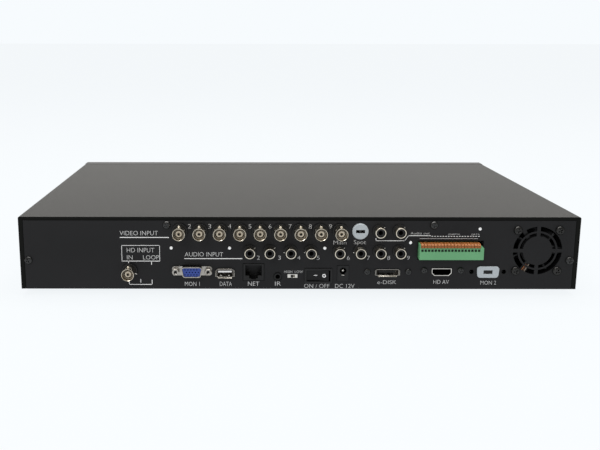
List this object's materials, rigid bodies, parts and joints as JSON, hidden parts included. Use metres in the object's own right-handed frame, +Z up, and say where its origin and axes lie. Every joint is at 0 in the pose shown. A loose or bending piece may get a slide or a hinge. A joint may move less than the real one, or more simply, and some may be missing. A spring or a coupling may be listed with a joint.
{
  "type": "digital video recorder",
  "caption": "Flat black video recorder with jacks, terminal block, rocker switch and fan on its rear connector panel.",
  "frame": {"origin": "centre of the outline of the whole part at the height of the surface its feet stand on", "axes": "+X to the right when facing the connector panel, +Y from the connector panel to the front bezel, +Z up"},
  "size_m": [0.43, 0.3126, 0.062],
  "materials": {
    "black_steel": "fine matt black powder coat",
    "bezel_plastic": "moulded matt black plastic",
    "smoked_window": "dark smoked gloss window",
    "foot_rubber": "matt black rubber",
    "black_screws": "blackened steel screws",
    "dark_screws": "dark plated steel screws",
    "bright_steel": "tin plated steel",
    "nickel": "warm nickel plate",
    "tan_plastic": "cream insulating plastic",
    "contact_brass": "gold flashed contacts",
    "black_plastic": "matt black moulding",
    "gloss_black": "satin black moulding",
    "blue_plastic": "blue socket moulding",
    "plug_plastic": "light grey plastic",
    "green_plastic": "green terminal plastic",
    "orange_plastic": "orange lever plastic",
    "board_green": "green solder mask",
    "plain_aluminium": "plain extruded aluminium",
    "drive_aluminium": "cast aluminium drive body",
    "lead_plastic": "soft insulated leads",
    "key_plastic": "matt dark grey keys"
  },
  "bodies": {
    "case": {"base_tray": "black_steel", "rear_panel": "black_steel", "top_cover": "black_steel", "front_bezel": "bezel_plastic", "status_window": "smoked_window", "rubber_feet": "foot_rubber", "panel_screws": "black_screws", "fan_screws": "dark_screws", "panel_rivets": "bright_steel", "video_jack_shells": "nickel", "video_jack_insulators": "tan_plastic", "video_jack_contacts": "contact_brass", "jack_housings": "black_plastic", "audio_rings": "nickel", "monitor_shell": "bright_steel", "monitor_insert": "blue_plastic", "monitor_posts": "nickel", "data_port_shell": "bright_steel", "network_jack": "black_plastic", "socket_contacts": "contact_brass", "remote_eye_jack": "black_plastic", "standard_switch_body": "bright_steel", "power_switch_frame": "black_plastic", "dc_jack": "black_plastic", "disk_port_shell": "bright_steel", "av_port_shell": "bright_steel", "socket_tongues": "black_plastic", "spot_plug": "plug_plastic", "monitor_plug": "plug_plastic", "terminal_block": "green_plastic", "fan_frame": "black_plastic", "main_board": "board_green", "input_board": "board_green", "heat_sink": "plain_aluminium", "hard_drive": "drive_aluminium", "key_board": "board_green", "internal_leads": "lead_plastic"},
    "fan_rotor": {"fan_rotor": "black_plastic"},
    "power_rocker": {"power_rocker": "gloss_black"},
    "standard_slider": {"standard_slider": "black_plastic"},
    "power_button": {"power_button": "key_plastic"},
    "menu_button": {"menu_button": "key_plastic"},
    "terminal_lever_01": {"terminal_lever_01": "orange_plastic"},
    "terminal_lever_02": {"terminal_lever_02": "orange_plastic"},
    "terminal_lever_03": {"terminal_lever_03": "orange_plastic"},
    "terminal_lever_04": {"terminal_lever_04": "orange_plastic"},
    "terminal_lever_05": {"terminal_lever_05": "orange_plastic"},
    "terminal_lever_06": {"terminal_lever_06": "orange_plastic"},
    "terminal_lever_07": {"terminal_lever_07": "orange_plastic"},
    "terminal_lever_08": {"terminal_lever_08": "orange_plastic"},
    "terminal_lever_09": {"terminal_lever_09": "orange_plastic"},
    "terminal_lever_10": {"terminal_lever_10": "orange_plastic"},
    "terminal_lever_11": {"terminal_lever_11": "orange_plastic"},
    "terminal_lever_12": {"terminal_lever_12": "orange_plastic"},
    "terminal_lever_13": {"terminal_lever_13": "orange_plastic"},
    "terminal_lever_14": {"terminal_lever_14": "orange_plastic"},
    "terminal_lever_15": {"terminal_lever_15": "orange_plastic"},
    "terminal_lever_16": {"terminal_lever_16": "orange_plastic"},
    "terminal_lever_17": {"terminal_lever_17": "orange_plastic"},
    "terminal_lever_18": {"terminal_lever_18": "orange_plastic"}
  },
  "joints": [
    {"name": "fan_spin", "type": "hinge", "parent": "case", "child": "fan_rotor", "pos_m": [0.1833, -0.1365, 0.03575], "axis": [0, 1, 0], "continuous": true},
    {"name": "power_tilt", "type": "hinge", "parent": "case", "child": "power_rocker", "pos_m": [0.0152, -0.1391, 0.01565], "axis": [0, 0, 1], "range_deg": [0, 16]},
    {"name": "standard_slide", "type": "slide", "parent": "case", "child": "standard_slider", "axis": [1, 0, 0], "range_m": [0, 0.0012]},
    {"name": "power_press", "type": "slide", "parent": "case", "child": "power_button", "axis": [0, -1, 0], "range_m": [0, 0.0012], "stiffness_N_per_m": 400, "springref_m": -0.0005},
    {"name": "menu_press", "type": "slide", "parent": "case", "child": "menu_button", "axis": [0, -1, 0], "range_m": [0, 0.0012], "stiffness_N_per_m": 400, "springref_m": -0.0005},
    {"name": "lever_01_press", "type": "slide", "parent": "case", "child": "terminal_lever_01", "axis": [0, 1, 0], "range_m": [0, 0.0012], "stiffness_N_per_m": 900, "springref_m": -0.0005},
    {"name": "lever_02_press", "type": "slide", "parent": "case", "child": "terminal_lever_02", "axis": [0, 1, 0], "range_m": [0, 0.0012], "stiffness_N_per_m": 900, "springref_m": -0.0005},
    {"name": "lever_03_press", "type": "slide", "parent": "case", "child": "terminal_lever_03", "axis": [0, 1, 0], "range_m": [0, 0.0012], "stiffness_N_per_m": 900, "springref_m": -0.0005},
    {"name": "lever_04_press", "type": "slide", "parent": "case", "child": "terminal_lever_04", "axis": [0, 1, 0], "range_m": [0, 0.0012], "stiffness_N_per_m": 900, "springref_m": -0.0005},
    {"name": "lever_05_press", "type": "slide", "parent": "case", "child": "terminal_lever_05", "axis": [0, 1, 0], "range_m": [0, 0.0012], "stiffness_N_per_m": 900, "springref_m": -0.0005},
    {"name": "lever_06_press", "type": "slide", "parent": "case", "child": "terminal_lever_06", "axis": [0, 1, 0], "range_m": [0, 0.0012], "stiffness_N_per_m": 900, "springref_m": -0.0005},
    {"name": "lever_07_press", "type": "slide", "parent": "case", "child": "terminal_lever_07", "axis": [0, 1, 0], "range_m": [0, 0.0012], "stiffness_N_per_m": 900, "springref_m": -0.0005},
    {"name": "lever_08_press", "type": "slide", "parent": "case", "child": "terminal_lever_08", "axis": [0, 1, 0], "range_m": [0, 0.0012], "stiffness_N_per_m": 900, "springref_m": -0.0005},
    {"name": "lever_09_press", "type": "slide", "parent": "case", "child": "terminal_lever_09", "axis": [0, 1, 0], "range_m": [0, 0.0012], "stiffness_N_per_m": 900, "springref_m": -0.0005},
    {"name": "lever_10_press", "type": "slide", "parent": "case", "child": "terminal_lever_10", "axis": [0, 1, 0], "range_m": [0, 0.0012], "stiffness_N_per_m": 900, "springref_m": -0.0005},
    {"name": "lever_11_press", "type": "slide", "parent": "case", "child": "terminal_lever_11", "axis": [0, 1, 0], "range_m": [0, 0.0012], "stiffness_N_per_m": 900, "springref_m": -0.0005},
    {"name": "lever_12_press", "type": "slide", "parent": "case", "child": "terminal_lever_12", "axis": [0, 1, 0], "range_m": [0, 0.0012], "stiffness_N_per_m": 900, "springref_m": -0.0005},
    {"name": "lever_13_press", "type": "slide", "parent": "case", "child": "terminal_lever_13", "axis": [0, 1, 0], "range_m": [0, 0.0012], "stiffness_N_per_m": 900, "springref_m": -0.0005},
    {"name": "lever_14_press", "type": "slide", "parent": "case", "child": "terminal_lever_14", "axis": [0, 1, 0], "range_m": [0, 0.0012], "stiffness_N_per_m": 900, "springref_m": -0.0005},
    {"name": "lever_15_press", "type": "slide", "parent": "case", "child": "terminal_lever_15", "axis": [0, 1, 0], "range_m": [0, 0.0012], "stiffness_N_per_m": 900, "springref_m": -0.0005},
    {"name": "lever_16_press", "type": "slide", "parent": "case", "child": "terminal_lever_16", "axis": [0, 1, 0], "range_m": [0, 0.0012], "stiffness_N_per_m": 900, "springref_m": -0.0005},
    {"name": "lever_17_press", "type": "slide", "parent": "case", "child": "terminal_lever_17", "axis": [0, 1, 0], "range_m": [0, 0.0012], "stiffness_N_per_m": 900, "springref_m": -0.0005},
    {"name": "lever_18_press", "type": "slide", "parent": "case", "child": "terminal_lever_18", "axis": [0, 1, 0], "range_m": [0, 0.0012], "stiffness_N_per_m": 900, "springref_m": -0.0005}
  ]
}
